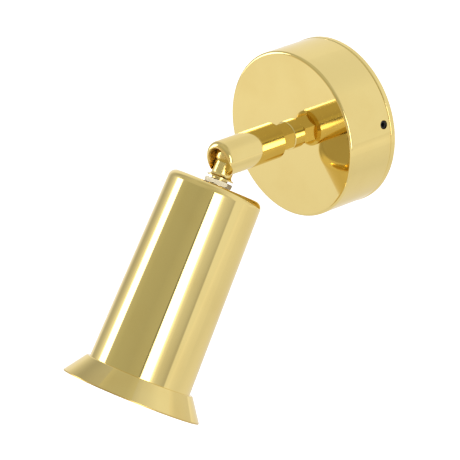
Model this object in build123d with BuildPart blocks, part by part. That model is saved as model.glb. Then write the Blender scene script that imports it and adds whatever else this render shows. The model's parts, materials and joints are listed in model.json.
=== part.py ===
from build123d import *
from math import acos, atan2, cos, degrees, radians, sin, sqrt, tan
import os

# A pivoting spotlight wall light, in millimetres.
# The wall is the XZ plane, the light stands off it towards -Y, and +Z is up.
# The origin is the centre of the back plate's rear face.
# Distances "from the wall" run along -Y on the arm's axis. Distances "from the
# ball" run from the ball's centre down the head's own axis, which leans out.

os.makedirs("parts", exist_ok=True)

# ---- Fits ----
running_gap = 0.05  # play between surfaces that turn on each other
slip_gap = 0.1  # play round a piece that slides into another
thread_gap = 0.02  # play left in a threaded fit
hex_corner = 2 / sqrt(3)  # corner radius of a hexagon over half its width

# ---- Wall cover ----
cover_r = 50.0
cover_projection = 36.4  # from the wall to the cover's front face
cover_wall = 1.5
cover_edge_round = 1.7
seam_bevel = 0.4  # fine line where the cover meets the back plate

# ---- Back plate ----
plate_overhang = 0.2  # how far the plate stands out past the cover
plate_rim_height = 3.5
plate_rim_round = 0.8
plate_floor = 2.0
spigot_wall = 2.3
spigot_height = 10.5  # above the rim, inside the cover
fixing_spacing = 60.0  # between the two wall screw slots
fixing_width = 5.0
fixing_travel = 8.0

# ---- Grub screws that hold the cover ----
grub_count = 3
grub_first_angle = 14.0  # above +X, seen from in front
grub_from_wall = 8.5
grub_r = 2.5
grub_length = 5.0
grub_depth = 0.8  # of the screw's outer end below the cover
grub_hole_play = 0.2
grub_socket = 2.5  # across the flats of its hexagon socket
grub_boss_width = 12.0
grub_boss_depth = 4.6
grub_boss_sink = 1.0  # of the boss into the spigot's wall

# ---- Cable grommet ----
grommet_bore_r = 4.0
grommet_neck_wall = 4.0
grommet_flange = 2.5
grommet_flange_height = 1.5
grommet_lip = 1.4
grommet_lip_height = 0.7

# ---- Terminal block ----
pole_count = 3
pole_pitch = 9.0
block_depth = 16.0
block_base = 8.0
block_corner_r = 1.0
tower_r = 3.1
tower_height = 5.0
tower_spacing = 8.4
insert_r = 2.3
insert_wall = 0.7
insert_setback = 0.5  # of each end inside the block
clamp_screw_r = 1.25
clamp_screw_setback = 1.0  # below the tower's top
clamp_slot_width = 0.6
clamp_slot_depth = 1.0
block_screw_r = 1.5
block_screw_head_r = 2.7
block_screw_head = 1.6
block_screw_setback = 0.3  # of its end, inside the plate's rear face
block_slot_width = 0.7
slot_runout = 0.5  # that a cut slot runs past the head, each side

# ---- Earth terminal ----
earth_boss_r = 4.5
earth_boss_height = 3.0
earth_screw_r = 2.0
earth_screw_setback = 0.5  # of its end, inside the plate's rear face
earth_head_r = 3.8
earth_head_height = 2.4
earth_head_side = 1.4  # straight part of the head's side
earth_head_top_r = 2.7
earth_cross_length = 4.0
earth_cross_width = 0.9
earth_washer_r = 4.3
earth_washer_height = 0.8

# ---- Swivel at the wall ----
collar_r = 8.6
collar_length = 4.0
collar_bevel = 0.4
nipple_r = 4.75  # M10 x 1 thread at its mean radius
nipple_bore_r = 3.2
journal_r = 5.2
post_head_wall = 1.2  # left in the hexagon round the post's head
post_head_height = 2.4
post_slot_width = 1.5
post_tail = 2.0  # of the post behind its nut
lock_washer_height = 0.8
lock_washer_margin = 1.5  # past the nut's flats
nipple_nut_flats = 14.0
nipple_nut_height = 3.0
nut_bevel = 0.6
friction_washer_height = 0.8
stop_pin_r = 0.6
stop_pin_height = 1.2
stop_pin_circle = 6.4
swivel_limit = 160.0

# ---- Knuckle ----
hex_flats = 15.4
hex_length = 9.1  # of the hexagon, from the collar to the housing
hex_bevel = 0.6
hex_floor = 3.0
plug_thread_length = 8.0
housing_length = 45.85
housing_wall = 2.8
housing_rear_bevel = 1.5
housing_front_round = 3.2
housing_mouth_bevel = 0.5
ball_setback = 9.2  # from the housing's front end to the ball's centre
ball_r = 7.6
ball_play = 0.35  # of the ball in the bore that it is put in through
ball_lip = 0.8  # that the housing's mouth keeps over the ball
slot_step = 0.2  # by which the slot is narrower than the mouth, each side
stem_play = 0.55  # each side of the stem in the slot
seat_relief = 0.5
seat_length = 5.0
seat_bore_r = 3.0
disc_count = 4
disc_bore_r = 4.2
disc_height = 1.2  # of one coned washer
disc_thickness = 0.7

# ---- Head: stem, nut and shade ----
lean = 31.5  # of the head's axis from straight down, away from the wall
stem_bore_r = 2.5
stem_spigot_r = 4.0
stem_spigot_length = 3.3
flare_start = 11.1
flare_rim_from_ball = 13.2
flare_rim_r = 8.0
flare_rim_height = 0.6
thread_shown = 1.3
top_nut_flats = 14.5
top_nut_height = 2.6
top_nut_turn = 8.0
shade_washer_r = 7.9
shade_washer_height = 0.5
shade_top_r = 28.4
shade_mouth_r = 31.0
shade_length = 117.8
shade_wall = 1.2
shade_top_wall = 1.5
shade_edge_round = 4.5
shade_nut_flats = 14.0
shade_nut_height = 3.0

# ---- Trim ring on the shade's mouth ----
trim_spigot_length = 8.0
trim_wall = 1.2
trim_shoulder = 1.8  # that the ring stands out past the shade
trim_shoulder_round = 1.0
trim_height = 13.7
trim_lip_r = 42.0
trim_lip_edge = 0.7
trim_lip_width = 0.9

# ---- Lampholder and lamp ----
holder_neck_r = 7.0
holder_neck_height = 4.0
holder_r = 14.0
holder_wall = 1.6
holder_dome_height = 4.9
holder_cap_height = 18.5
holder_partition = 3.0
wire_hole_r = 1.2
wire_hole_spacing = 10.0
skirt_spigot_length = 4.0  # screwed into the cap
skirt_length = 28.0  # past the partition
skirt_wall = 2.2
shell_wall = 0.5
shell_length = 19.0
shell_hole_r = 3.4
contact_rivet_r = 1.2
contact_reach = 2.2  # of the sprung contact above the partition
contact_length = 5.0
contact_width = 3.0
contact_corner_r = 0.6
contact_thickness = 0.5
lamp_length = 85.0
lamp_r = 25.0
lamp_cap_r = 6.95
lamp_cap_length = 18.0
lamp_cap_wall = 0.4
lamp_contact_r = 2.4
lamp_contact_height = 2.0
lamp_contact_bevel = 0.6
lamp_insulator_margin = 0.6  # of the cap's end round the contact
lamp_insulator_height = 2.5
lamp_throat_r = 10.0
lamp_throat_rise = 8.0
lamp_dome_height = 14.5  # from the widest ring to the front
lamp_corner_r = 7.0
glass_wall = 0.9
glass_neck_length = 6.0  # inside the cap

# ---- Places along the arm, from the wall ----
plate_r = cover_r + plate_overhang
cover_inner_r = cover_r - cover_wall
spigot_r = cover_inner_r - slip_gap
spigot_inner_r = spigot_r - spigot_wall
spigot_top = plate_rim_height + spigot_height
collar_front = cover_projection + collar_length
plug_rear = collar_front + running_gap
plug_floor_front = plug_rear + hex_floor
housing_rear = collar_front + hex_length
plug_front = housing_rear + plug_thread_length
housing_front = housing_rear + housing_length
ball_from_wall = housing_front - ball_setback
cover_inside = cover_projection - cover_wall

# ---- Radii of the ball joint ----
socket_r = ball_r + running_gap
bore_r = ball_r + ball_play
housing_r = bore_r + housing_wall
mouth_r = ball_r - ball_lip
slot_half = mouth_r - slot_step
stem_r = slot_half - stem_play
stem_shoulder = sqrt(ball_r**2 - stem_r**2)

# ---- Places down the head, from the ball ----
flare_face = flare_rim_from_ball + flare_rim_height
top_nut_start = flare_face + thread_shown
shade_washer_start = top_nut_start + top_nut_height
shade_start = shade_washer_start + shade_washer_height
shade_end = shade_start + shade_length
shade_nut_start = shade_start + shade_top_wall
holder_start = shade_nut_start + shade_nut_height
partition_start = holder_start + holder_cap_height - skirt_spigot_length
partition_end = partition_start + holder_partition


# ---- Sections and axes that the pieces are turned on ----
# A section plane has radius along its X and distance along its Y.
arm = Plane(origin=(0, 0, 0), x_dir=(1, 0, 0), z_dir=(0, 0, -1))
head = Plane(
    origin=(0, -ball_from_wall, 0),
    x_dir=(1, 0, 0),
    z_dir=(0, cos(radians(lean)), -sin(radians(lean))),
)


def axis_of(section):
    """The turning axis of a section."""
    return Axis(section.origin, section.y_dir)


def across(section, distance):
    """The plane square to a section's axis, this far along it."""
    origin = section.origin + section.y_dir * distance
    return Plane(origin=origin, x_dir=section.x_dir, z_dir=section.y_dir)


def outward(angle, from_wall, radius):
    """The plane that faces out from the arm's axis, at an angle above +X."""
    facing = Vector(cos(radians(angle)), 0, sin(radians(angle)))
    origin = facing * radius + Vector(0, -from_wall, 0)
    return Plane(origin=origin, x_dir=(0, -1, 0), z_dir=facing)


def turn(section, outline, mode=Mode.ADD):
    """Turn an outline of (radius, distance) points about a section's axis."""
    with BuildSketch(section) as profile:
        with BuildLine():
            Polyline(*outline, close=True)
        make_face()
    revolve(profile.sketch, axis=axis_of(section), mode=mode)


def ring(section, inner_r, outer_r, start, end, mode=Mode.ADD):
    """Turn a plain ring, bush or washer."""
    outline = [(inner_r, start), (outer_r, start), (outer_r, end), (inner_r, end)]
    turn(section, outline, mode)


def bore(section, radius, start, end):
    """Bore a hole along a section's axis."""
    with BuildSketch(across(section, start)) as hole:
        Circle(radius)
    extrude(hole.sketch, amount=end - start, mode=Mode.SUBTRACT)


def hexagon(section, flats, start, end, bevel, turned=30.0):
    """A hexagonal bar with its corners turned off at both ends."""
    corner_r = flats / 2 * hex_corner
    fall = bevel * tan(radians(30))
    with BuildSketch(across(section, start)) as bar:
        RegularPolygon(flats / 2, 6, major_radius=False, rotation=turned)
    extrude(bar.sketch, amount=end - start)
    outline = [
        (0, start),
        (corner_r - bevel, start),
        (corner_r, start + fall),
        (corner_r, end - fall),
        (corner_r - bevel, end),
        (0, end),
    ]
    turn(section, outline, Mode.INTERSECT)


def save(piece, name):
    """Label a finished piece and write it to its own file."""
    piece.part.label = name
    export_step(piece.part, f"parts/{name}.step")


grub_angles = [grub_first_angle + turn_step * 360 / grub_count for turn_step in range(grub_count)]

# ================================================================ wall mount

# ---- Back plate: a shallow dish with a spigot that the cover slides over ----
grommet_hole_r = grommet_bore_r + grommet_neck_wall
grommet_flange_r = grommet_hole_r + grommet_flange
grommet_recess_r = grommet_hole_r + grommet_lip + slip_gap
grommet_recess = grommet_lip_height + slip_gap
block_up = (grommet_flange_r + spigot_inner_r) / 2
earth_down = block_up
block_width = pole_count * pole_pitch

with BuildPart() as back_plate:
    turn(
        arm,
        [
            (0, 0),
            (plate_r, 0),
            (plate_r, plate_rim_height),
            (spigot_r, plate_rim_height),
            (spigot_r, spigot_top),
            (spigot_inner_r, spigot_top),
            (spigot_inner_r, plate_floor),
            (0, plate_floor),
        ],
    )
    rim_edges = back_plate.edges().filter_by(GeomType.CIRCLE)
    rim_edges = rim_edges.filter_by(lambda edge: abs(edge.radius - plate_r) < 0.001)
    fillet(rim_edges, plate_rim_round)
    boss_middle_r = spigot_inner_r + grub_boss_sink - grub_boss_depth / 2
    with BuildSketch(across(arm, plate_floor)):
        with PolarLocations(boss_middle_r, grub_count, grub_first_angle):
            Rectangle(grub_boss_depth, grub_boss_width)
    extrude(amount=spigot_top - plate_floor)
    for angle in grub_angles:
        with BuildSketch(outward(angle, grub_from_wall, spigot_r / 2)):
            Circle(grub_r + thread_gap)
        extrude(amount=cover_r / 2, mode=Mode.SUBTRACT)
    with BuildSketch(across(arm, plate_floor)):
        with Locations((0, -earth_down)):
            Circle(earth_boss_r)
    extrude(amount=earth_boss_height)
    with BuildSketch(across(arm, 0)):
        with GridLocations(fixing_spacing, 1, 2, 1):
            SlotCenterToCenter(fixing_travel, fixing_width)
        with Locations((0, -earth_down)):
            Circle(earth_screw_r + thread_gap)
        with Locations((0, block_up)):
            with GridLocations(pole_pitch, 1, pole_count - 1, 1):
                Circle(block_screw_r + thread_gap)
        Circle(grommet_hole_r)
    extrude(amount=plate_floor + earth_boss_height, mode=Mode.SUBTRACT)
    bore(arm, grommet_recess_r, 0, grommet_recess)
save(back_plate, "back_plate")

# ---- Cable grommet: rubber, snapped through the middle of the back plate ----
with BuildPart() as cable_grommet:
    turn(
        arm,
        [
            (grommet_bore_r, 0),
            (grommet_hole_r + grommet_lip, 0),
            (grommet_hole_r + grommet_lip, grommet_lip_height),
            (grommet_hole_r - thread_gap, grommet_lip_height + slip_gap),
            (grommet_hole_r - thread_gap, plate_floor),
            (grommet_flange_r, plate_floor),
            (grommet_flange_r, plate_floor + grommet_flange_height),
            (grommet_bore_r, plate_floor + grommet_flange_height),
        ],
    )
save(cable_grommet, "cable_grommet")

# ---- Terminal block: three poles of moulded plastic ----
insert_from_wall = plate_floor + block_base / 2
tower_top = plate_floor + block_base + tower_height

with BuildPart() as terminal_block:
    with BuildSketch(across(arm, plate_floor)):
        with Locations((0, block_up)):
            RectangleRounded(block_width, block_depth, block_corner_r)
    extrude(amount=block_base)
    with BuildSketch(across(arm, plate_floor + block_base)):
        with Locations((0, block_up)):
            with GridLocations(pole_pitch, tower_spacing, pole_count, 2):
                Circle(tower_r)
    extrude(amount=tower_height)
    with BuildSketch(across(arm, insert_from_wall)):
        with Locations((0, block_up)):
            with GridLocations(pole_pitch, tower_spacing, pole_count, 2):
                Circle(clamp_screw_r + slip_gap)
    extrude(amount=tower_top - insert_from_wall, mode=Mode.SUBTRACT)
    with BuildSketch(across(arm, plate_floor)):
        with Locations((0, block_up)):
            with GridLocations(pole_pitch, 1, pole_count - 1, 1):
                Circle(block_screw_r + slip_gap)
    extrude(amount=block_base, mode=Mode.SUBTRACT)
    wire_side = Plane(origin=(0, -insert_from_wall, block_up - block_depth / 2), z_dir=(0, 0, 1))
    with BuildSketch(wire_side):
        with GridLocations(pole_pitch, 1, pole_count, 1):
            Circle(insert_r + thread_gap)
    extrude(amount=block_depth, mode=Mode.SUBTRACT)
save(terminal_block, "terminal_block")

# ---- Terminal inserts: a brass tube in each pole ----
with BuildPart() as terminal_inserts:
    with BuildSketch(wire_side.offset(insert_setback)):
        with GridLocations(pole_pitch, 1, pole_count, 1):
            Circle(insert_r)
            Circle(insert_r - insert_wall, mode=Mode.SUBTRACT)
    extrude(amount=block_depth - 2 * insert_setback)
    with BuildSketch(across(arm, insert_from_wall)):
        with Locations((0, block_up)):
            with GridLocations(pole_pitch, tower_spacing, pole_count, 2):
                Circle(clamp_screw_r + thread_gap)
    extrude(amount=insert_r, mode=Mode.SUBTRACT)
save(terminal_inserts, "terminal_inserts")

# ---- Terminal screws: two in each pole, slotted ----
clamp_screw_top = tower_top - clamp_screw_setback
with BuildPart() as terminal_screws:
    with BuildSketch(across(arm, insert_from_wall)):
        with Locations((0, block_up)):
            with GridLocations(pole_pitch, tower_spacing, pole_count, 2):
                Circle(clamp_screw_r)
    extrude(amount=clamp_screw_top - insert_from_wall)
    with BuildSketch(across(arm, clamp_screw_top - clamp_slot_depth)):
        with Locations((0, block_up)):
            with GridLocations(pole_pitch, tower_spacing, pole_count, 2):
                Rectangle(2 * (clamp_screw_r + slot_runout), clamp_slot_width)
    extrude(amount=clamp_slot_depth, mode=Mode.SUBTRACT)
save(terminal_screws, "terminal_screws")

# ---- Block screws: hold the terminal block to the plate ----
with BuildPart() as block_screws:
    with BuildSketch(across(arm, block_screw_setback)):
        with Locations((0, block_up)):
            with GridLocations(pole_pitch, 1, pole_count - 1, 1):
                Circle(block_screw_r)
    extrude(amount=plate_floor + block_base - block_screw_setback)
    with BuildSketch(across(arm, plate_floor + block_base)):
        with Locations((0, block_up)):
            with GridLocations(pole_pitch, 1, pole_count - 1, 1):
                Circle(block_screw_head_r)
    extrude(amount=block_screw_head)
    with BuildSketch(across(arm, plate_floor + block_base + block_screw_head / 2)):
        with Locations((0, block_up)):
            with GridLocations(pole_pitch, 1, pole_count - 1, 1):
                Rectangle(2 * (block_screw_head_r + slot_runout), block_slot_width)
    extrude(amount=block_screw_head / 2, mode=Mode.SUBTRACT)
save(block_screws, "block_screws")

# ---- Earth terminal: a washer and a screw in a boss of the plate ----
earth_boss_top = plate_floor + earth_boss_height
earth = Plane(origin=(0, 0, -earth_down), x_dir=(1, 0, 0), z_dir=(0, 0, -1))

earth_head_start = earth_boss_top + earth_washer_height
earth_head_top = earth_head_start + earth_head_height

with BuildPart() as earth_washer:
    ring(earth, earth_screw_r + slip_gap, earth_washer_r, earth_boss_top, earth_head_start)
save(earth_washer, "earth_washer")

with BuildPart() as earth_screw:
    turn(
        earth,
        [
            (0, earth_screw_setback),
            (earth_screw_r, earth_screw_setback),
            (earth_screw_r, earth_head_start),
            (earth_head_r, earth_head_start),
            (earth_head_r, earth_head_start + earth_head_side),
            (earth_head_top_r, earth_head_top),
            (0, earth_head_top),
        ],
    )
    with BuildSketch(across(earth, earth_head_top - earth_head_height / 2)):
        Rectangle(earth_cross_length, earth_cross_width)
        Rectangle(earth_cross_width, earth_cross_length)
    extrude(amount=earth_head_height, mode=Mode.SUBTRACT)
save(earth_screw, "earth_screw")

# ---- Wall cover: a turned cup ----
with BuildPart() as wall_cover:
    turn(
        arm,
        [
            (cover_inner_r, plate_rim_height),
            (cover_r - seam_bevel, plate_rim_height),
            (cover_r, plate_rim_height + seam_bevel),
            (cover_r, cover_projection),
            (nipple_r + slip_gap, cover_projection),
            (nipple_r + slip_gap, cover_inside),
            (cover_inner_r, cover_inside),
        ],
    )
    front_edges = wall_cover.edges().filter_by(GeomType.CIRCLE)
    front_edge = front_edges.filter_by(lambda edge: abs(edge.radius - cover_r) < 0.001)
    fillet(front_edge.sort_by(Axis.Y)[0], cover_edge_round)
    for angle in grub_angles:
        with BuildSketch(outward(angle, grub_from_wall, cover_inner_r - cover_wall)):
            Circle(grub_r + grub_hole_play)
        extrude(amount=3 * cover_wall, mode=Mode.SUBTRACT)
save(wall_cover, "wall_cover")

# ---- Grub screws: backed out of the plate's bosses into the cover's holes ----
grub_outer = cover_r - grub_depth
with BuildPart() as grub_screws:
    for angle in grub_angles:
        with BuildSketch(outward(angle, grub_from_wall, grub_outer - grub_length)):
            Circle(grub_r)
        extrude(amount=grub_length)
        with BuildSketch(outward(angle, grub_from_wall, grub_outer - grub_length / 2)):
            RegularPolygon(grub_socket / 2, 6, major_radius=False)
        extrude(amount=grub_length, mode=Mode.SUBTRACT)
save(grub_screws, "grub_screws")

# ---- Swivel collar: the plain ring on the cover's face ----
with BuildPart() as swivel_collar:
    turn(
        arm,
        [
            (nipple_r + slip_gap, cover_projection),
            (collar_r, cover_projection),
            (collar_r, collar_front - collar_bevel),
            (collar_r - collar_bevel, collar_front),
            (nipple_r + slip_gap, collar_front),
        ],
    )
    with BuildSketch(across(arm, collar_front - stop_pin_height)):
        with Locations((0, -stop_pin_circle)):
            Circle(stop_pin_r)
    extrude(amount=stop_pin_height, mode=Mode.SUBTRACT)
save(swivel_collar, "swivel_collar")

# ---- Stop pin: pressed in the collar, it runs in the hexagon's groove ----
with BuildPart() as stop_pin:
    with BuildSketch(across(arm, collar_front - stop_pin_height)):
        with Locations((0, -stop_pin_circle)):
            Circle(stop_pin_r)
    extrude(amount=2 * stop_pin_height)
save(stop_pin, "stop_pin")

# ---- Swivel post: a hollow bolt that the knuckle turns on ----
cavity_r = hex_flats / 2 - post_head_wall
post_head_r = cavity_r - slip_gap
friction_washer_start = plug_floor_front + running_gap
post_head_start = friction_washer_start + friction_washer_height
nipple_nut_rear = cover_inside - lock_washer_height - nipple_nut_height
post_rear = nipple_nut_rear - post_tail

with BuildPart() as swivel_post:
    turn(
        arm,
        [
            (nipple_bore_r, post_rear),
            (nipple_r, post_rear),
            (nipple_r, collar_front),
            (journal_r, collar_front),
            (journal_r, post_head_start),
            (post_head_r, post_head_start),
            (post_head_r, post_head_start + post_head_height),
            (nipple_bore_r, post_head_start + post_head_height),
        ],
    )
    with BuildSketch(across(arm, post_head_start + post_head_height / 2)):
        Rectangle(2 * (post_head_r + slot_runout), post_slot_width)
    extrude(amount=post_head_height, mode=Mode.SUBTRACT)
save(swivel_post, "swivel_post")

with BuildPart() as friction_washer:
    ring(arm, journal_r + slip_gap, post_head_r, friction_washer_start, post_head_start)
save(friction_washer, "friction_washer")

with BuildPart() as lock_washer:
    lock_washer_r = nipple_nut_flats / 2 + lock_washer_margin
    ring(arm, nipple_r + slip_gap, lock_washer_r, cover_inside - lock_washer_height, cover_inside)
save(lock_washer, "lock_washer")

with BuildPart() as nipple_nut:
    hexagon(arm, nipple_nut_flats, nipple_nut_rear, nipple_nut_rear + nipple_nut_height, nut_bevel)
    bore(arm, nipple_r + thread_gap, nipple_nut_rear, nipple_nut_rear + nipple_nut_height)
save(nipple_nut, "nipple_nut")

# =================================================================== knuckle

# ---- Hexagon plug: turns on the post and closes the housing's rear ----
groove_half = stop_pin_r + slip_gap
groove_reach = swivel_limit + degrees(slip_gap / stop_pin_circle)

with BuildPart() as hex_plug:
    hexagon(arm, hex_flats, plug_rear, housing_rear, hex_bevel)
    ring(arm, cavity_r, bore_r - thread_gap, housing_rear, plug_front)
    bore(arm, cavity_r, plug_floor_front, housing_rear)
    bore(arm, journal_r + running_gap, plug_rear, plug_floor_front)
    with BuildSketch(across(arm, plug_rear)):
        with BuildLine(mode=Mode.PRIVATE):
            groove = CenterArc((0, 0), stop_pin_circle, -90 - groove_reach, 2 * groove_reach)
        SlotArc(groove, 2 * groove_half)
    extrude(amount=stop_pin_height + slip_gap, mode=Mode.SUBTRACT)
save(hex_plug, "hex_plug")

# ---- Knuckle housing: a tube that ends in a ball socket with a slot below ----
seat_angle = degrees(acos(mouth_r / socket_r))
with BuildPart() as knuckle_housing:
    with BuildSketch(arm):
        with BuildLine():
            socket = CenterArc((0, ball_from_wall), socket_r, 0, seat_angle)
            Polyline(
                socket @ 1,
                (mouth_r, housing_front - housing_mouth_bevel),
                (mouth_r + housing_mouth_bevel, housing_front),
                (housing_r - housing_front_round, housing_front),
            )
            nose_centre = (housing_r - housing_front_round, housing_front - housing_front_round)
            CenterArc(nose_centre, housing_front_round, 0, 90)
            Polyline(
                (housing_r, housing_front - housing_front_round),
                (housing_r, housing_rear + housing_rear_bevel),
                (housing_r - housing_rear_bevel, housing_rear),
                (bore_r, housing_rear),
                (bore_r, ball_from_wall - ball_play),
                socket @ 0,
            )
        make_face()
    revolve(axis=axis_of(arm))
    with BuildSketch(Plane.XY):
        with Locations((0, -ball_from_wall)):
            Circle(slot_half)
        with Locations((0, -ball_from_wall - housing_length / 2)):
            Rectangle(2 * slot_half, housing_length)
    extrude(amount=-2 * housing_r, mode=Mode.SUBTRACT)
save(knuckle_housing, "knuckle_housing")

# ---- Ball seat: a plastic cup that the spring presses on the ball ----
seat_front = ball_from_wall - stem_r - seat_relief
seat_rear = seat_front - seat_length
seat_cup_r = sqrt(socket_r**2 - (stem_r + seat_relief) ** 2)
seat_cup_depth = sqrt(socket_r**2 - seat_bore_r**2)
with BuildPart() as ball_seat:
    with BuildSketch(arm):
        with BuildLine():
            Polyline(
                (seat_bore_r, ball_from_wall - seat_cup_depth),
                (seat_bore_r, seat_rear),
                (bore_r - slip_gap, seat_rear),
                (bore_r - slip_gap, seat_front),
                (seat_cup_r, seat_front),
            )
            RadiusArc((seat_cup_r, seat_front), (seat_bore_r, ball_from_wall - seat_cup_depth), socket_r)
        make_face()
    revolve(axis=axis_of(arm))
save(ball_seat, "ball_seat")

# ---- Disc springs: coned washers, back to back, that press the seat forward ----
disc_r = bore_r - slip_gap
stack_rear = seat_rear - disc_count * disc_height
with BuildPart() as disc_springs:
    for place in range(disc_count):
        near = stack_rear + place * disc_height
        far = near + disc_height
        if place % 2:
            near, far = far, near
        lift = disc_thickness if near < far else -disc_thickness
        turn(
            arm,
            [
                (disc_bore_r, near),
                (disc_bore_r, near + lift),
                (disc_r, far),
                (disc_r, far - lift),
            ],
        )
save(disc_springs, "disc_springs")

# ---- Spring sleeve: carries the plug's thrust to the disc springs ----
with BuildPart() as spring_sleeve:
    ring(arm, disc_bore_r, bore_r - slip_gap, plug_front, stack_rear)
save(spring_sleeve, "spring_sleeve")

# ====================================================================== ball

# ---- Swivel ball: bored for the stem, and slotted behind for the wires ----
spigot_top_end = stem_shoulder + running_gap - stem_spigot_length
with BuildPart() as swivel_ball:
    with BuildSketch(head):
        with BuildLine():
            flat_angle = degrees(acos(stem_r / ball_r))
            skin = CenterArc((0, 0), ball_r, -90, 90 + flat_angle)
            Polyline(skin @ 1, (0, stem_shoulder), (0, -ball_r))
        make_face()
    revolve(axis=axis_of(head))
    bore(head, stem_bore_r, -ball_r, stem_shoulder)
    bore(head, stem_spigot_r + running_gap, spigot_top_end - slip_gap, stem_shoulder)
    with BuildSketch(across(head, -ball_r)):
        with Locations((0, -ball_r / 2)):
            Rectangle(2 * stem_bore_r, ball_r)
    extrude(amount=ball_r + 1, mode=Mode.SUBTRACT)
save(swivel_ball, "swivel_ball")

# ====================================================================== head

# ---- Ball stem: spigot, neck, flared collar and hollow thread in one piece ----
stem_end = holder_start + holder_neck_height
with BuildPart() as ball_stem:
    with BuildSketch(head):
        with BuildLine():
            flare = TangentArc(
                (stem_r, flare_start), (flare_rim_r, flare_rim_from_ball), tangent=(0, 1)
            )
            Polyline(
                flare @ 1,
                (flare_rim_r, flare_face),
                (nipple_r, flare_face),
                (nipple_r, stem_end),
                (stem_bore_r, stem_end),
                (stem_bore_r, spigot_top_end),
                (stem_spigot_r, spigot_top_end),
                (stem_spigot_r, stem_shoulder + running_gap),
                (stem_r, stem_shoulder + running_gap),
                flare @ 0,
            )
        make_face()
    revolve(axis=axis_of(head))
save(ball_stem, "ball_stem")

with BuildPart() as top_nut:
    hexagon(head, top_nut_flats, top_nut_start, shade_washer_start, nut_bevel, top_nut_turn)
    bore(head, nipple_r + thread_gap, top_nut_start, shade_washer_start)
save(top_nut, "top_nut")

with BuildPart() as shade_washer:
    ring(head, nipple_r + slip_gap, shade_washer_r, shade_washer_start, shade_start)
save(shade_washer, "shade_washer")

# ---- Shade: a turned cup, slightly tapered, with a rounded top edge ----
shade_taper = (shade_mouth_r - shade_top_r) / shade_length
shade_roof_r = shade_top_r + shade_taper * shade_top_wall - shade_wall
with BuildPart() as shade:
    turn(
        head,
        [
            (nipple_r + slip_gap, shade_start),
            (shade_top_r, shade_start),
            (shade_mouth_r, shade_end),
            (shade_mouth_r - shade_wall, shade_end),
            (shade_roof_r, shade_nut_start),
            (nipple_r + slip_gap, shade_nut_start),
        ],
    )
    rings = shade.edges().filter_by(GeomType.CIRCLE)
    fillet(rings.filter_by(lambda edge: abs(edge.radius - shade_top_r) < 0.001), shade_edge_round)
    rings = shade.edges().filter_by(GeomType.CIRCLE)
    fillet(
        rings.filter_by(lambda edge: abs(edge.radius - shade_roof_r) < 0.001),
        shade_edge_round - shade_wall,
    )
save(shade, "shade")

# ---- Shade nut: clamps the shade from inside ----
with BuildPart() as shade_nut:
    hexagon(head, shade_nut_flats, shade_nut_start, holder_start, nut_bevel)
    bore(head, nipple_r + thread_gap, shade_nut_start, holder_start)
save(shade_nut, "shade_nut")

# ---- Trim ring: a flared bezel on a spigot inside the shade's mouth ----
trim_end = shade_end + trim_height
trim_spigot_r = shade_mouth_r - shade_wall - shade_taper * trim_spigot_length - thread_gap
trim_shoulder_r = shade_mouth_r + trim_shoulder
trim_inner_r = trim_spigot_r - trim_wall
with BuildPart() as trim_ring:
    turn(
        head,
        [
            (trim_inner_r, shade_end - trim_spigot_length),
            (trim_spigot_r, shade_end - trim_spigot_length),
            (trim_spigot_r, shade_end),
            (trim_shoulder_r, shade_end),
            (trim_lip_r, trim_end - trim_lip_edge),
            (trim_lip_r, trim_end),
            (trim_lip_r - trim_lip_width, trim_end),
            (trim_inner_r, shade_end + trim_wall),
        ],
    )
    shoulders = trim_ring.edges().filter_by(GeomType.CIRCLE)
    fillet(
        shoulders.filter_by(lambda edge: abs(edge.radius - trim_shoulder_r) < 0.001),
        trim_shoulder_round,
    )
save(trim_ring, "trim_ring")

# ---- Lampholder cap: moulded dome, threaded on the stem's tube ----
holder_cap_end = holder_start + holder_cap_height
dome_start = holder_start + holder_neck_height
dome_end = dome_start + holder_dome_height
skirt_r = holder_r - holder_wall
with BuildPart() as lampholder_cap:
    turn(
        head,
        [
            (nipple_r + thread_gap, holder_start),
            (holder_neck_r, holder_start),
            (holder_neck_r, dome_start),
            (holder_r, dome_end),
            (holder_r, holder_cap_end),
            (skirt_r, holder_cap_end),
            (skirt_r, dome_end + holder_wall / 2),
            (holder_neck_r - holder_wall / 2, dome_start + holder_wall),
            (nipple_r + thread_gap, dome_start + holder_wall),
        ],
    )
save(lampholder_cap, "lampholder_cap")

# ---- Lampholder skirt: moulded tube with a partition, screwed in the cap ----
shell_inner_r = lamp_cap_r + slip_gap
shell_r = shell_inner_r + shell_wall
skirt_inner_r = holder_r - slip_gap - skirt_wall
skirt_end = partition_end + skirt_length
with BuildPart() as lampholder_skirt:
    turn(
        head,
        [
            (0, partition_start),
            (skirt_r - thread_gap, partition_start),
            (skirt_r - thread_gap, holder_cap_end),
            (holder_r - slip_gap, holder_cap_end),
            (holder_r - slip_gap, skirt_end),
            (skirt_inner_r, skirt_end),
            (skirt_inner_r, partition_end),
            (0, partition_end),
        ],
    )
    with BuildSketch(across(head, partition_start)):
        with GridLocations(wire_hole_spacing, 1, 2, 1):
            Circle(wire_hole_r)
    extrude(amount=holder_partition, mode=Mode.SUBTRACT)
save(lampholder_skirt, "lampholder_skirt")

# ---- Holder shell: the threaded metal liner that the lamp screws into ----
with BuildPart() as holder_shell:
    turn(
        head,
        [
            (shell_hole_r, partition_end),
            (shell_r, partition_end),
            (shell_r, partition_end + shell_length),
            (shell_inner_r, partition_end + shell_length),
            (shell_inner_r, partition_end + shell_wall),
            (shell_hole_r, partition_end + shell_wall),
        ],
    )
save(holder_shell, "holder_shell")

# ---- Holder contact: sprung centre contact on the partition ----
lamp_start = partition_end + contact_reach
with BuildPart() as holder_contact:
    with BuildSketch(across(head, partition_end)):
        Circle(contact_rivet_r)
    extrude(amount=contact_reach)
    with BuildSketch(across(head, lamp_start - contact_thickness)):
        RectangleRounded(contact_length, contact_width, contact_corner_r)
    extrude(amount=contact_thickness)
save(holder_contact, "holder_contact")

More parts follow.
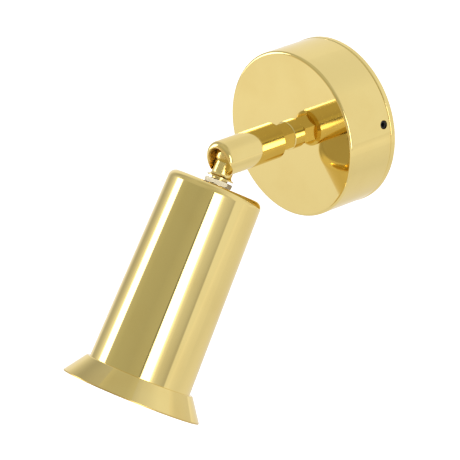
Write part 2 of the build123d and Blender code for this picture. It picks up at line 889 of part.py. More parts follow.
# ---- Lamp: centre contact, screw cap and reflector bulb ----
lamp_cap_start = lamp_start + lamp_contact_height
lamp_cap_end = lamp_cap_start + lamp_insulator_height + lamp_cap_length
lamp_front = lamp_start + lamp_length
with BuildPart() as lamp_contact:
    with BuildSketch(across(head, lamp_start)):
        Circle(lamp_contact_r)
    extrude(amount=lamp_contact_height)
    chamfer(lamp_contact.faces().sort_by(axis_of(head))[0].edges(), lamp_contact_bevel)
save(lamp_contact, "lamp_contact")

with BuildPart() as lamp_cap:
    turn(
        head,
        [
            (0, lamp_cap_start),
            (lamp_contact_r + lamp_insulator_margin, lamp_cap_start),
            (lamp_cap_r, lamp_cap_start + lamp_insulator_height),
            (lamp_cap_r, lamp_cap_end),
            (lamp_cap_r - lamp_cap_wall, lamp_cap_end),
            (lamp_cap_r - lamp_cap_wall, lamp_cap_start + lamp_insulator_height + lamp_cap_wall),
            (0, lamp_cap_start + lamp_insulator_height + lamp_cap_wall),
        ],
    )
save(lamp_cap, "lamp_cap")

glass_neck_r = lamp_cap_r - lamp_cap_wall - thread_gap
glass_start = lamp_cap_end - glass_neck_length
belly = lamp_front - lamp_dome_height


def bulb_outline(inset):
    """The reflector bulb's outline, drawn in from its skin by an inset."""
    neck_r = glass_neck_r - inset
    widest_r = lamp_r - inset
    front = lamp_front - inset
    corner_r = lamp_corner_r - inset
    rise = front - belly
    corner_in = widest_r - corner_r
    dome_r = (corner_in**2 + rise**2 - corner_r**2) / (2 * (rise - corner_r))
    turn_up = degrees(atan2(belly - front + dome_r, corner_in))
    with BuildSketch(head) as profile:
        with BuildLine():
            corner = CenterArc((corner_in, belly), corner_r, 0, turn_up)
            CenterArc((0, front - dome_r), dome_r, turn_up, 90 - turn_up)
            TangentArc(corner @ 0, (lamp_throat_r - inset, lamp_cap_end + lamp_throat_rise), tangent=(0, -1))
            Polyline(
                (lamp_throat_r - inset, lamp_cap_end + lamp_throat_rise),
                (neck_r, lamp_cap_end),
                (neck_r, glass_start),
                (0, glass_start),
                (0, front),
            )
        make_face()
    return profile.sketch


with BuildPart() as lamp_bulb:
    revolve(bulb_outline(0), axis=axis_of(head))
    revolve(bulb_outline(glass_wall), axis=axis_of(head), mode=Mode.SUBTRACT)
save(lamp_bulb, "lamp_bulb")
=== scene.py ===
import json
from math import cos, pi, radians, sin

import bpy
from mathutils import Matrix, Vector


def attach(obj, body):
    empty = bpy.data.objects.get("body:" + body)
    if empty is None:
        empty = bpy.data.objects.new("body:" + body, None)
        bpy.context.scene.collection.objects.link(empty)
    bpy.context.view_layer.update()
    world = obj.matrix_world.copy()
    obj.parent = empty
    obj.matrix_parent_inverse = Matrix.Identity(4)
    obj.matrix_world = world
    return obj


# The looks of a pivoting spotlight wall light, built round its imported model.
# Metres. The wall is the XZ plane, the light stands off it towards -Y, and +Z is up.

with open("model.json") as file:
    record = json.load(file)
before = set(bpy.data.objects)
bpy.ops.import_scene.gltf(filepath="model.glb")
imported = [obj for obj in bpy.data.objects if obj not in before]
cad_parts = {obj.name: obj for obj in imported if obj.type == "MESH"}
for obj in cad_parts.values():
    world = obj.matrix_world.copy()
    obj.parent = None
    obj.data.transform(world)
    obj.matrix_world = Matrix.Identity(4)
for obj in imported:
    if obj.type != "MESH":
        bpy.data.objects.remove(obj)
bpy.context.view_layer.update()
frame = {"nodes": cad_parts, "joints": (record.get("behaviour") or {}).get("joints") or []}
nodes = frame["nodes"]
joints = {joint["name"]: joint for joint in frame["joints"]}

wall_centre = Vector((0, 0, 0))
ball_centre = Vector(joints["head_tilt"]["pos_m"])
arm_axis = Vector(joints["knuckle_swivel"]["axis"]).normalized()
head_axis = Vector(joints["head_spin"]["axis"]).normalized()
arm_line = (wall_centre, arm_axis)
head_line = (ball_centre, head_axis)


# ======================================================================= camera
# Fitted to the perspective of the photograph.
camera_azimuth = radians(46.22)
camera_elevation = radians(23.11)
camera_distance = 2.012
camera_lens = 266.1
aim_right = -0.06165
aim_up = -0.06588


def towards(azimuth, elevation):
    """The direction of an azimuth, 0 along -Y and 90 along +X, and an elevation."""
    return Vector((sin(azimuth) * cos(elevation), -cos(azimuth) * cos(elevation), sin(elevation)))


def make_camera():
    """Place the camera on the photograph's line of sight."""
    back = towards(camera_azimuth, camera_elevation)
    right = Vector((cos(camera_azimuth), sin(camera_azimuth), 0))
    up = back.cross(right)
    data = bpy.data.cameras.new("camera")
    data.lens = camera_lens
    data.clip_start = 0.1
    data.clip_end = 50
    camera = bpy.data.objects.new("camera", data)
    bpy.context.scene.collection.objects.link(camera)
    camera.rotation_mode = "QUATERNION"
    camera.rotation_quaternion = Matrix((right, up, back)).transposed().to_quaternion()
    camera.location = right * aim_right + up * aim_up + back * camera_distance
    bpy.context.scene.camera = camera


# ================================================================== shader nodes
mix_factor, mix_first, mix_second, mix_result = 0, 6, 7, 2  # sockets of a Mix node for colours


def start_material(name, metallic=0.0, roughness=0.5, colour=(0.8, 0.8, 0.8)):
    """A new material: its data, its node tree and its Principled shader."""
    material = bpy.data.materials.new(name)
    material.use_nodes = True
    tree = material.node_tree
    shader = tree.nodes["Principled BSDF"]
    shader.inputs["Metallic"].default_value = metallic
    shader.inputs["Roughness"].default_value = roughness
    shader.inputs["Base Color"].default_value = (*colour, 1)
    return material, tree, shader


def add(tree, kind, inputs=None, **settings):
    """A shader node, with its settings and some of its inputs set."""
    node = tree.nodes.new(kind)
    for key, value in settings.items():
        setattr(node, key, value)
    for key, value in (inputs or {}).items():
        node.inputs[key].default_value = value
    return node


def link(tree, source, target):
    tree.links.new(source, target)


def maths(tree, operation, *values):
    """The result of a Math node on one or two values, each a number or a socket."""
    node = add(tree, "ShaderNodeMath", operation=operation)
    for socket, value in zip(node.inputs, values):
        if isinstance(value, (int, float)):
            socket.default_value = value
        else:
            link(tree, value, socket)
    return node.outputs[0]


def mixed(tree, amount, first, second):
    """A colour that runs from the first to the second with an amount from 0 to 1. Each
    of the two is a colour or a socket."""
    mix = add(tree, "ShaderNodeMix", data_type="RGBA")
    link(tree, amount, mix.inputs[mix_factor])
    for socket, colour in ((mix.inputs[mix_first], first), (mix.inputs[mix_second], second)):
        if isinstance(colour, tuple):
            socket.default_value = (*colour, 1)
        else:
            link(tree, colour, socket)
    return mix.outputs[mix_result]


def spread(tree, value, low, high, lowest, highest):
    """A value from low to high, carried over to lowest to highest."""
    node = add(tree, "ShaderNodeMapRange",
               {"From Min": low, "From Max": high, "To Min": lowest, "To Max": highest})
    link(tree, value, node.inputs["Value"])
    return node.outputs[0]


def noise(tree, place, waves, detail=2.0, stretch=(1, 1, 1)):
    """Noise round 0.5 at a place, with so many waves in a metre."""
    mapping = add(tree, "ShaderNodeMapping", {"Scale": stretch})
    link(tree, place, mapping.inputs["Vector"])
    pattern = add(tree, "ShaderNodeTexNoise", {"Scale": waves, "Detail": detail})
    link(tree, mapping.outputs[0], pattern.inputs["Vector"])
    return pattern.outputs["Fac"]


def model_place(tree):
    return add(tree, "ShaderNodeTexCoord").outputs["Object"]


def axis_distances(tree, here, line):
    """How far a place is along a line, given by its origin and axis, and away from it."""
    origin, axis = line
    offset = add(tree, "ShaderNodeVectorMath", {1: origin}, operation="SUBTRACT")
    link(tree, here, offset.inputs[0])
    along = add(tree, "ShaderNodeVectorMath", {1: axis}, operation="DOT_PRODUCT")
    link(tree, offset.outputs[0], along.inputs[0])
    sideways = add(tree, "ShaderNodeVectorMath", {1: axis}, operation="CROSS_PRODUCT")
    link(tree, offset.outputs[0], sideways.inputs[0])
    away = add(tree, "ShaderNodeVectorMath", operation="LENGTH")
    link(tree, sideways.outputs[0], away.inputs[0])
    return along.outputs["Value"], away.outputs["Value"]


def turned_place(tree, along, away):
    """A place for noise that runs round a line, as a tool's lines do."""
    place = add(tree, "ShaderNodeCombineXYZ")
    link(tree, along, place.inputs[0])
    link(tree, away, place.inputs[1])
    return place.outputs[0]


def bump(tree, shader, heights):
    """Stack bumps, each a height from 0 to 1 and its depth in metres."""
    normal = None
    for height, depth in heights:
        node = add(tree, "ShaderNodeBump", {"Strength": 1.0, "Distance": depth})
        link(tree, height, node.inputs["Height"])
        if normal:
            link(tree, normal, node.inputs["Normal"])
        normal = node.outputs[0]
    link(tree, normal, shader.inputs["Normal"])


# ====================================================================== studio
# A white tent: bright behind and below, with a dim front, two soft boxes and a
# grey ceiling that the polished metal mirrors. Its panels are patches of a globe
# round the light, seen only in polished surfaces. Angles here are in degrees.
studio_centre = Vector((0.01, -0.1, -0.06))
tent_radius = 4.0
panel_step = 0.5
warm_grey = (1.0, 0.99, 0.80)
tan_grey = (1.0, 0.98, 0.84)
wood_glow = (1.0, 0.86, 0.62)
pale_warm = (1.0, 0.97, 0.92)
neutral = (1.0, 1.0, 1.0)

# Elevations that panels end at.
tent_foot = -14
shoulder = 35
crown = 68

# Azimuths that panels end at, from the left round the front to the right.
left_end = -112
left_box_outer = -74
front_left = -44
front_right = 45
right_box_inner = 47.5
right_box_outer = 78
right_end = 99

# A soft box's upper edge, where the box starts, and how it falls for each degree outwards.
soft_box_top = 31.0
soft_box_fall = 0.5
soft_box_fade = 1.5  # of elevation, over which the box ends at the top
soft_box_again = 1.6
front_again = 1.2

floor_height = -0.36
floor_half = 1.5
floor_glow_shift = Vector((0.12, 0.12))
floor_glow_colour = (1.0, 0.985, 0.97)
floor_lift = 0.45
ramp_reach = 2.0  # metres from end to end of the floor's ramp
ramp_top = 2.0  # the level that its white stands for


def glow_material(name, colour, again):
    """Light whose level is read from the mesh. What a mirror shows of another
    mirror is brighter by a factor, so that it stays white through both."""
    material = bpy.data.materials.new(name)
    material.use_nodes = True
    tree = material.node_tree
    tree.nodes.clear()
    level = add(tree, "ShaderNodeAttribute", attribute_name="level")
    path = add(tree, "ShaderNodeLightPath")
    factor = spread(tree, path.outputs["Ray Depth"], 1.0, 2.0, 1.0, again)
    glow = add(tree, "ShaderNodeEmission", {"Color": (*colour, 1)})
    output = add(tree, "ShaderNodeOutputMaterial")
    link(tree, maths(tree, "MULTIPLY", level.outputs["Fac"], factor), glow.inputs["Strength"])
    link(tree, glow.outputs[0], output.inputs["Surface"])
    return material


def between(stops, place):
    """The value at a place on the line through some (place, value) stops."""
    near = stops[0]
    for far in stops[1:]:
        if place <= far[0]:
            share = (place - near[0]) / (far[0] - near[0])
            return near[1] + (far[1] - near[1]) * max(share, 0)
        near = far
    return near[1]


def wall(azimuths, *rows):
    """Levels of light that run evenly between azimuths, and between rows that each
    hold an elevation and its levels."""
    def level_at(azimuth, elevation):
        heights = [(row[0], between(list(zip(azimuths, row[1:])), azimuth)) for row in rows]
        return between(heights, elevation)
    return level_at


def soft_box(stops, surround):
    """Levels across a soft box on either side, given by how far to the side they are,
    and the levels above it, given by their elevation."""
    def level_at(azimuth, elevation):
        side = abs(azimuth)
        edge = soft_box_top - soft_box_fall * (side - stops[0][0])
        inside = min(max((edge - elevation) / soft_box_fade, 0), 1)
        inside = inside * inside * (3 - 2 * inside)
        outer = between(surround, elevation)
        return outer + (between(stops, side) - outer) * inside
    return level_at


def steps(first, last):
    """Angles from the first to the last, about one panel step apart."""
    count = max(1, round((last - first) / panel_step))
    return [first + (last - first) * step / count for step in range(count + 1)]


def panel(name, azimuths, elevations, level_at, colour=neutral, again=1.0):
    """A curved panel of the tent, with its level of light at each azimuth and
    elevation."""
    columns, uprights = steps(*azimuths), steps(*elevations)
    points, levels, faces = [], [], []
    for elevation in uprights:
        for azimuth in columns:
            points.append(studio_centre + towards(radians(azimuth), radians(elevation)) * tent_radius)
            levels.append(level_at(azimuth, elevation))
    across = len(columns)
    for row in range(len(uprights) - 1):
        for column in range(across - 1):
            corner = row * across + column
            faces.append((corner, corner + 1, corner + across + 1, corner + across))
    mesh = bpy.data.meshes.new(name)
    mesh.from_pydata(points, [], faces)
    mesh.attributes.new("level", "FLOAT", "POINT").data.foreach_set("value", levels)
    mesh.materials.append(glow_material(name, colour, again))
    piece = bpy.data.objects.new(name, mesh)
    bpy.context.scene.collection.objects.link(piece)
    piece.visible_camera = False
    piece.visible_diffuse = False
    piece.visible_shadow = False


def seen_directly(tree):
    """The light path, and 1 for rays from the camera, from a mirror or through glass."""
    path = add(tree, "ShaderNodeLightPath")
    mirrored = maths(tree, "MAXIMUM", path.outputs["Is Camera Ray"], path.outputs["Is Glossy Ray"])
    return path, maths(tree, "MAXIMUM", mirrored, path.outputs["Is Transmission Ray"])


def make_world():
    """White where it is seen, and a softer fill for the rest."""
    world = bpy.data.worlds.new("tent")
    bpy.context.scene.world = world
    world.use_nodes = True
    tree = world.node_tree
    tree.nodes.clear()
    seen = seen_directly(tree)[1]
    fill = add(tree, "ShaderNodeBackground", {"Color": (1, 1, 1, 1), "Strength": 0.75})
    white = add(tree, "ShaderNodeBackground", {"Color": (1, 1, 1, 1), "Strength": 1.0})
    mix = add(tree, "ShaderNodeMixShader")
    output = add(tree, "ShaderNodeOutputWorld")
    link(tree, seen, mix.inputs[0])
    link(tree, fill.outputs[0], mix.inputs[1])
    link(tree, white.outputs[0], mix.inputs[2])
    link(tree, mix.outputs[0], output.inputs["Surface"])


def floor_glow(tree):
    """What mirrors see of the floor: dimmer close to the light, bright farther out."""
    here = add(tree, "ShaderNodeNewGeometry").outputs["Position"]
    middle = (*(studio_centre.xy + floor_glow_shift), floor_height)
    offset = add(tree, "ShaderNodeVectorMath", {1: middle}, operation="DISTANCE")
    link(tree, here, offset.inputs[0])
    ramp = add(tree, "ShaderNodeValToRGB")
    # Distances from the middle, and levels there.
    stops = ((0.20, 0.93), (0.36, 0.86), (0.50, 0.90), (0.90, 0.984), (1.14, 1.05), (1.70, 0.95))
    while len(ramp.color_ramp.elements) < len(stops):
        ramp.color_ramp.elements.new(1.0)
    for element, (distance, level) in zip(ramp.color_ramp.elements, stops):
        element.position = distance / ramp_reach
        element.color = (*(level / ramp_top * channel for channel in floor_glow_colour), 1)
    link(tree, maths(tree, "MULTIPLY", offset.outputs["Value"], 1 / ramp_reach), ramp.inputs[0])
    glow = add(tree, "ShaderNodeEmission", {"Strength": ramp_top})
    link(tree, ramp.outputs[0], glow.inputs["Color"])
    return glow.outputs[0]


def make_floor():
    """A pale floor that reads white, keeps a soft shadow and hides nothing from below."""
    material, tree, shader = start_material("floor", roughness=0.9, colour=(0.9, 0.9, 0.9))
    output = tree.nodes["Material Output"]
    path, seen = seen_directly(tree)
    mirrored = maths(tree, "SUBTRACT", seen, path.outputs["Is Camera Ray"])
    lift = add(tree, "ShaderNodeEmission", {"Color": (1, 1, 1, 1), "Strength": floor_lift})
    lifted = add(tree, "ShaderNodeAddShader")
    link(tree, shader.outputs[0], lifted.inputs[0])
    link(tree, lift.outputs[0], lifted.inputs[1])
    top = add(tree, "ShaderNodeMixShader")
    link(tree, mirrored, top.inputs[0])
    link(tree, lifted.outputs[0], top.inputs[1])
    link(tree, floor_glow(tree), top.inputs[2])
    clear = add(tree, "ShaderNodeBsdfTransparent")
    side = add(tree, "ShaderNodeNewGeometry")
    one_sided = add(tree, "ShaderNodeMixShader")
    link(tree, side.outputs["Backfacing"], one_sided.inputs[0])
    link(tree, top.outputs[0], one_sided.inputs[1])
    link(tree, clear.outputs[0], one_sided.inputs[2])
    link(tree, one_sided.outputs[0], output.inputs["Surface"])
    square = ((-1, -1), (1, -1), (1, 1), (-1, 1))
    corners = [(x * floor_half, y * floor_half, floor_height) for x, y in square]
    mesh = bpy.data.meshes.new("floor")
    mesh.from_pydata(corners, [], [(0, 1, 2, 3)])
    mesh.materials.append(material)
    floor = bpy.data.objects.new("floor", mesh)
    bpy.context.scene.collection.objects.link(floor)


def make_overhead_lamp():
    """One large soft lamp overhead, for the shading of what isn't metal."""
    data = bpy.data.lights.new("overhead", "AREA")
    data.shape = "DISK"
    data.size = 1.2
    data.energy = 14.0
    lamp = bpy.data.objects.new("overhead", data)
    bpy.context.scene.collection.objects.link(lamp)
    lamp.location = studio_centre + Vector((0.5, -0.7, 1.2))
    lamp.rotation_mode = "QUATERNION"
    lamp.rotation_quaternion = (studio_centre - lamp.location).to_track_quat("-Z", "Y")
    lamp.visible_glossy = False


def make_front():
    """The dim front, with a warm low part, and what is above it."""
    warm_top = 15
    panel("low_front", (front_left, front_right), (tent_foot, warm_top), wall(
        (front_left, -36, 15, front_right),
        (tent_foot, 0.90, 0.80, 0.75, 0.70),
        (0, 0.90, 0.74, 0.72, 0.62),
        (warm_top, 0.66, 0.60, 0.56, 0.56),
    ), wood_glow)
    panel("front", (front_left, front_right), (warm_top, shoulder), wall(
        (front_left, -28, 15, front_right),
        (warm_top, 0.64, 0.56, 0.53, 0.56),
        (shoulder, 0.60, 0.54, 0.51, 0.58),
    ), warm_grey, again=front_again)
    right_edge = 90
    panel("upper_front", (left_box_outer, right_edge), (shoulder, crown), wall(
        (left_box_outer, front_left, 15, front_right, 67, right_edge),
        (shoulder, 0.58, 0.62, 0.54, 0.60, 0.68, 0.74),
        (42, 0.60, 0.66, 0.62, 0.58, 0.62, 0.76),
        (crown, 0.68, 0.68, 0.68, 0.66, 0.68, 0.72),
    ), tan_grey)


def make_ceiling():
    """The grey top of the tent, the same all round."""
    panel("ceiling", (-180, 180), (crown, 90), wall(
        (-180, 180),
        (crown, 0.70, 0.70),
        (77, 0.62, 0.62),
        (90, 0.61, 0.61),
    ), tan_grey)


def make_back():
    """The bright back: the slope up to the ceiling, and a slightly dimmer foot."""
    slope_foot = 38
    dome_right = left_end + 360
    panel("back_dome", (right_end, dome_right), (slope_foot, crown), wall(
        (right_end, 180, dome_right),
        (slope_foot, 0.98, 1.0, 0.94),
        (52, 0.85, 0.90, 0.86),
        (60, 0.79, 0.87, 0.80),
        (crown, 0.70, 0.70, 0.70),
    ))
    panel("back_low", (140, 215), (tent_foot, 22), wall(
        (140, 155, 190, 215),
        (tent_foot, 0.96, 0.86, 0.80, 0.95),
        (14, 0.98, 0.85, 0.85, 0.98),
        (22, 1.0, 1.0, 1.0, 1.0),
    ), pale_warm)


def make_right():
    """The right soft box, with its dark frame, and the side behind it."""
    frame_top = 27
    panel("right_frame", (front_right, right_box_inner), (tent_foot, frame_top), wall(
        (front_right, 46, right_box_inner),
        (tent_foot, 0.4, 0.2, 0.3),
        (frame_top, 0.4, 0.2, 0.3),
    ))
    panel("right_soft_box", (right_box_inner, right_box_outer), (tent_foot, shoulder), soft_box(
        ((right_box_inner, 0.3), (48.5, 0.9), (49.5, 4.5), (67, 4.5), (69, 1.7), (73, 1.06),
         (right_box_outer, 0.86)),
        ((0, 1.1), (27, 1.0), (shoulder, 0.66)),
    ), again=soft_box_again)
    panel("right_side", (right_box_outer, right_end), (tent_foot, crown), wall(
        (right_box_outer, 90, 96.5, right_end),
        (tent_foot, 0.85, 0.75, 0.65, 0.99),
        (-3, 0.74, 0.66, 0.54, 1.0),
        (12, 0.86, 0.76, 0.85, 1.0),
        (38, 0.74, 0.80, 0.90, 0.98),
        (crown, 0.68, 0.72, 0.72, 0.70),
    ))


def make_left():
    """The left soft box and the side behind it."""
    panel("left_soft_box", (left_box_outer, front_left), (tent_foot, shoulder), soft_box(
        ((-front_left, 0.62), (47.5, 0.7), (49.5, 4.5), (65, 4.5), (67, 1.8), (70, 1.1),
         (-left_box_outer, 0.98)),
        ((0, 1.0), (27, 0.92), (shoulder, 0.62)),
    ), again=soft_box_again)
    panel("left_side", (left_end, left_box_outer), (tent_foot, crown), wall(
        (left_end, -105, -100, -93, -85, -80, left_box_outer),
        (tent_foot, 1.0, 0.86, 0.70, 0.58, 0.70, 0.82, 0.98),
        (0, 1.0, 0.84, 0.66, 0.52, 0.62, 0.72, 0.96),
        (14, 0.95, 0.70, 0.60, 0.54, 0.60, 0.72, 0.94),
        (30, 0.90, 0.62, 0.50, 0.50, 0.58, 0.62, 0.74),
        (44, 0.80, 0.60, 0.50, 0.56, 0.58, 0.60, 0.64),
        (crown, 0.70, 0.66, 0.62, 0.62, 0.64, 0.66, 0.68),
    ))


def make_studio():
    make_world()
    make_floor()
    make_overhead_lamp()
    make_front()
    make_ceiling()
    make_back()
    make_right()
    make_left()


# ==================================================================== materials
# A metal has two colours, clean and stained, and two roughnesses, polished and worn.
brass = ((0.80, 0.64, 0.26), (0.775, 0.605, 0.235))
bare_brass = ((0.72, 0.56, 0.26), (0.60, 0.43, 0.18))
nickel = ((0.35, 0.31, 0.22), (0.30, 0.265, 0.185))
zinc = ((0.66, 0.67, 0.68), (0.58, 0.60, 0.62))
spring = ((0.50, 0.50, 0.52), (0.36, 0.36, 0.40))
mirror_finish = (0.035, 0.075)
satin_finish = (0.2, 0.3)
nickel_finish = (0.26, 0.36)
lacquer_weight = 0.05
lacquer_roughness = 0.03
specular_tint = (1.0, 0.96, 0.86)

# What a tool leaves where nobody polishes, rougher and darker: in the socket's bore, by the distance
# from the arm's line, and on the trim ring's lip, by the distance from its end. The darker colour is
# painted shade, in the bore and along the lip.
raw_and_shade_colour = (0.62, 0.44, 0.15)
raw_roughness = 0.3
socket_polished_r = 0.0083
socket_raw_and_shade_r = 0.0079
lip_polished_to = 0.0009
lip_raw_and_shade_from = 0.0007

# Patterns, in waves in a metre, and their depths in metres.
film_waves = 38.0
wipe_waves = 160.0
ripple_waves = 55.0
ripple_depth = 4e-6
fine_line_waves = 2600.0
fine_line_depth = 1.2e-7
tool_pitch = 0.00035
tool_line_depth = 6e-6
stain_depth = 4e-6


def polished_metal(name, line, colours, finish, lacquer=0.0, raw_and_shaded=None):
    """Polished turned metal: faint tool lines round the line that it was turned on, a
    polish that is never quite flat, and the dull film that hands and cloths leave.
    The last argument is for a surface that no cloth reaches, left rougher and darker, its darker colour
    painted shade: whether it is found by its distance along the line or away from it, and the two
    distances where the polish ends and where the unpolished surface is complete."""
    smooth, worn = finish
    material, tree, shader = start_material(name, 1.0, smooth, colours[0])
    here = model_place(tree)
    along, away = axis_distances(tree, here, line)
    film = noise(tree, here, film_waves, 4.0)
    wipes = noise(tree, here, wipe_waves, 3.0, (1.0, 1.0, 0.25))
    lines = noise(tree, turned_place(tree, along, away), fine_line_waves, 1.0)
    ripples = noise(tree, here, ripple_waves, 1.0)
    patches = spread(tree, film, 0.42, 0.72, smooth, worn)
    streaks = spread(tree, wipes, 0.5, 0.8, 0.0, (worn - smooth) * 0.6)
    roughness = maths(tree, "ADD", patches, streaks)
    colour = mixed(tree, spread(tree, film, 0.45, 0.75, 0.0, 1.0), *colours)
    if raw_and_shaded:
        direction, polished_to, raw_and_shade_from = raw_and_shaded
        distance = along if direction == "along" else away
        # An unpolished zone: rougher, and darker in colour, which is painted shade in the bore and along
        # the lip.
        bare_and_shaded = spread(tree, distance, polished_to, raw_and_shade_from, 0.0, 1.0)
        roughness = maths(tree, "ADD", roughness, maths(tree, "MULTIPLY", bare_and_shaded, raw_roughness))
        colour = mixed(tree, bare_and_shaded, colour, raw_and_shade_colour)
    link(tree, colour, shader.inputs["Base Color"])
    link(tree, roughness, shader.inputs["Roughness"])
    bump(tree, shader, ((ripples, ripple_depth), (lines, fine_line_depth)))
    shader.inputs["Specular Tint"].default_value = (*specular_tint, 1)
    shader.inputs["Coat Weight"].default_value = lacquer
    shader.inputs["Coat Roughness"].default_value = lacquer_roughness
    return material


def turned_metal(name, line, colours, finish):
    """Bare turned metal, as on hidden pieces: clear tool lines and a dry sheen."""
    material, tree, shader = start_material(name, 1.0, finish[0], colours[0])
    here = model_place(tree)
    lines = noise(tree, turned_place(tree, *axis_distances(tree, here, line)), 1 / tool_pitch, 2.0)
    stain = noise(tree, here, 90.0, 4.0)
    colour = mixed(tree, spread(tree, stain, 0.35, 0.7, 0.0, 1.0), *colours)
    link(tree, colour, shader.inputs["Base Color"])
    link(tree, spread(tree, lines, 0.35, 0.65, *finish), shader.inputs["Roughness"])
    bump(tree, shader, ((lines, tool_line_depth), (stain, stain_depth)))
    return material


def blackened_steel(name):
    """Oil-blackened screw steel with brighter, worn grain."""
    black = (0.012, 0.012, 0.013)
    rubbed = (0.05, 0.048, 0.045)
    material, tree, shader = start_material(name, 0.6, 0.4, black)
    here = model_place(tree)
    grain = noise(tree, here, 2500.0, 3.0)
    wear = noise(tree, here, 500.0, 4.0)
    colour = mixed(tree, spread(tree, wear, 0.5, 0.8, 0.0, 1.0), black, rubbed)
    link(tree, colour, shader.inputs["Base Color"])
    link(tree, spread(tree, wear, 0.35, 0.7, 0.5, 0.3), shader.inputs["Roughness"])
    bump(tree, shader, ((grain, 6e-6),))
    return material


def moulded(name, colours, finish, grain_size, grain_depth, soft=0.0):
    """Moulded plastic or rubber: a fine spark-eroded grain and flow marks. Soft is how
    much light goes into it."""
    material, tree, shader = start_material(name, 0.0, finish[0], colours[0])
    here = model_place(tree)
    grain = noise(tree, here, 1 / grain_size, 2.0)
    flow = noise(tree, here, 120.0, 4.0, (1.0, 1.0, 0.4))
    colour = mixed(tree, spread(tree, flow, 0.4, 0.7, 0.0, 1.0), *colours)
    link(tree, colour, shader.inputs["Base Color"])
    link(tree, spread(tree, flow, 0.35, 0.65, *finish), shader.inputs["Roughness"])
    bump(tree, shader, ((flow, 2e-5), (grain, grain_depth)))
    if soft:
        shader.inputs["Subsurface Weight"].default_value = soft
        shader.inputs["Subsurface Scale"].default_value = 0.0008
    return material


def rolled_cap(name):
    """A lamp cap of thin aluminium, with its rolled thread."""
    rolled_pitch = 0.0028
    rolled_depth = 2.5e-4
    material, tree, shader = start_material(name, 1.0, 0.3, (0.8, 0.8, 0.78))
    here = model_place(tree)
    along = axis_distances(tree, here, head_line)[0]
    wave = maths(tree, "SINE", maths(tree, "MULTIPLY", along, 2 * pi / rolled_pitch))
    thread = spread(tree, wave, -1.0, 1.0, 0.0, 1.0)
    grain = noise(tree, here, 1500.0, 3.0)
    # The colour follows the thread: darker in its grooves, as painted shade, and lighter on its crests.
    colour = mixed(tree, thread, (0.6, 0.6, 0.58), (0.85, 0.85, 0.83))
    link(tree, colour, shader.inputs["Base Color"])
    link(tree, spread(tree, grain, 0.35, 0.65, 0.22, 0.4), shader.inputs["Roughness"])
    bump(tree, shader, ((thread, rolled_depth), (grain, 4e-6)))
    return material


def reflector_glass(name):
    """A reflector lamp: silvered behind its widest ring and frosted in front of it."""
    dome_height = 0.0145
    silver_fade = 0.0015
    silver_shine = 0.3  # the silvered part's roughness, as a share of the frosted part's
    material, tree, shader = start_material(name, 0.0, 0.3, (0.93, 0.93, 0.90))
    here = model_place(tree)
    along = axis_distances(tree, here, head_line)[0]
    widest = span("lamp_bulb", head_line)[1] - dome_height
    silvering = spread(tree, along, widest - silver_fade, widest, 1.0, 0.0)
    frost = noise(tree, here, 2200.0, 2.0)
    cloud = noise(tree, here, 70.0, 3.0)
    link(tree, silvering, shader.inputs["Metallic"])
    colour = mixed(tree, spread(tree, cloud, 0.3, 0.7, 0.0, 1.0), (0.93, 0.93, 0.90), (0.86, 0.86, 0.84))
    link(tree, colour, shader.inputs["Base Color"])
    matt = spread(tree, frost, 0.3, 0.7, 0.38, 0.55)
    shine = spread(tree, silvering, 0.0, 1.0, 1.0, silver_shine)
    link(tree, maths(tree, "MULTIPLY", matt, shine), shader.inputs["Roughness"])
    bump(tree, shader, ((frost, 4e-6),))
    shader.inputs["Subsurface Weight"].default_value = 0.25
    shader.inputs["Subsurface Scale"].default_value = 0.002
    return material


def span(node, line):
    """How far a node reaches along a line, nearest and farthest."""
    origin, axis = line
    reach = [(vertex.co - origin).dot(axis) for vertex in nodes[node].data.vertices]
    return min(reach), max(reach)


def dress(material, *names):
    """Give nodes a material in place of their plain one."""
    for name in names:
        data = nodes[name].data
        data.materials.clear()
        data.materials.append(material)


def dress_polished():
    """Mirror brass outside, with the bored socket and the trim ring's lip left unpolished and darkened
    with painted shade, satin brass on the ball and stem, and satin plate on the nuts."""
    arm_brass = polished_metal("polished_brass_arm", arm_line, brass, mirror_finish, lacquer_weight)
    dress(arm_brass, "wall_cover", "back_plate", "swivel_collar", "hex_plug")
    socket = ("away", socket_polished_r, socket_raw_and_shade_r)
    dress(polished_metal("polished_brass_bored", arm_line, brass, mirror_finish, lacquer_weight, socket),
          "knuckle_housing")
    dress(polished_metal("polished_brass_head", head_line, brass, mirror_finish, lacquer_weight), "shade")
    dress(polished_metal("satin_brass", head_line, brass, satin_finish), "swivel_ball", "ball_stem")
    end = span("trim_ring", head_line)[1]
    lip = ("along", end - lip_polished_to, end - lip_raw_and_shade_from)
    dress(polished_metal("polished_brass_trim", head_line, brass, mirror_finish, lacquer_weight, lip),
          "trim_ring")
    dress(polished_metal("nickel_plate", head_line, nickel, nickel_finish),
          "top_nut", "shade_washer", "shade_nut", "lamp_contact")


def dress_inner_metals(head_brass):
    """Bare metal on the pieces inside, and black on the grub screws."""
    dress(turned_metal("raw_brass_arm", arm_line, bare_brass, (0.22, 0.38)),
          "terminal_inserts", "earth_screw", "swivel_post", "nipple_nut")
    dress(head_brass, "holder_shell")
    dress(turned_metal("zinc_steel", arm_line, zinc, (0.25, 0.45)),
          "terminal_screws", "block_screws", "earth_washer", "stop_pin", "spring_sleeve")
    dress(turned_metal("spring_steel", arm_line, spring, (0.2, 0.35)),
          "friction_washer", "lock_washer", "disc_springs", "holder_contact")
    dress(blackened_steel("black_steel"), "grub_screws")


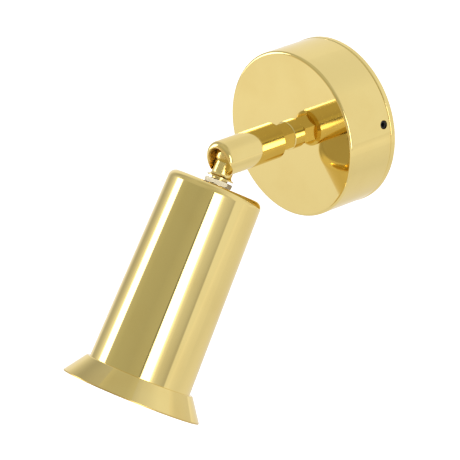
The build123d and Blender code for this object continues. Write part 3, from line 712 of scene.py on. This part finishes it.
def dress_mouldings():
    """Rubber on the grommet, nylon on the block and seat, thermoset on the lampholder."""
    rubber = ((0.05, 0.05, 0.055), (0.075, 0.073, 0.07))
    nylon = ((0.82, 0.81, 0.77), (0.77, 0.755, 0.70))
    thermoset = ((0.86, 0.85, 0.81), (0.81, 0.795, 0.74))
    dress(moulded("grey_rubber", rubber, (0.6, 0.8), 0.0004, 2e-5), "cable_grommet")
    dress(moulded("white_plastic", nylon, (0.36, 0.5), 0.0003, 6e-6, soft=0.1),
          "terminal_block", "ball_seat")
    dress(moulded("white_holder", thermoset, (0.25, 0.36), 0.0005, 4e-6),
          "lampholder_cap", "lampholder_skirt")


def dress_lamp():
    dress(rolled_cap("lamp_cap_metal"), "lamp_cap")
    dress(reflector_glass("lamp_glass"), "lamp_bulb")


# ================================================================== stem thread
thread_pitch = 0.001
thread_root_r = 0.0045
thread_crest_r = 0.005
thread_shown = 0.0013
thread_turns = 1.7
thread_lead = 0.2  # pitches before the shown length, where the ridge starts
thread_steps = 48  # round one turn

# The ridge's radius, and how far along from its middle, in pitches.
thread_profile = (
    (thread_root_r, -0.42),
    (thread_crest_r, -0.06),
    (thread_crest_r, 0.06),
    (thread_root_r, 0.42),
)


def make_stem_thread(material):
    """The thread between the stem's flared collar and the nut: a helical ridge."""
    last = span("top_nut", head_line)[0]
    first = last - thread_shown
    across = Vector((1, 0, 0))
    other = head_axis.cross(across)
    count = int(thread_turns * thread_steps)
    points, faces = [], []
    for step in range(count + 1):
        angle = 2 * pi * step / thread_steps
        out = across * cos(angle) + other * sin(angle)
        middle = first + thread_pitch * (step / thread_steps - thread_lead)
        for radius, shift in thread_profile:
            along = min(max(middle + shift * thread_pitch, first), last)
            points.append(ball_centre + head_axis * along + out * radius)
    corners = len(thread_profile)
    for step in range(count):
        for side in range(corners - 1):
            corner = step * corners + side
            faces.append((corner, corner + corners, corner + corners + 1, corner + 1))
    mesh = bpy.data.meshes.new("stem_thread")
    mesh.from_pydata(points, [], faces)
    mesh.materials.append(material)
    mesh.update()
    piece = bpy.data.objects.new("stem_thread", mesh)
    bpy.context.scene.collection.objects.link(piece)
    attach(piece, "head")


# ======================================================================== build
make_camera()
make_studio()
bpy.context.scene.view_settings.view_transform = "Standard"

head_brass = turned_metal("raw_brass_head", head_line, bare_brass, (0.25, 0.4))
dress_polished()
dress_inner_metals(head_brass)
dress_mouldings()
dress_lamp()
make_stem_thread(head_brass)
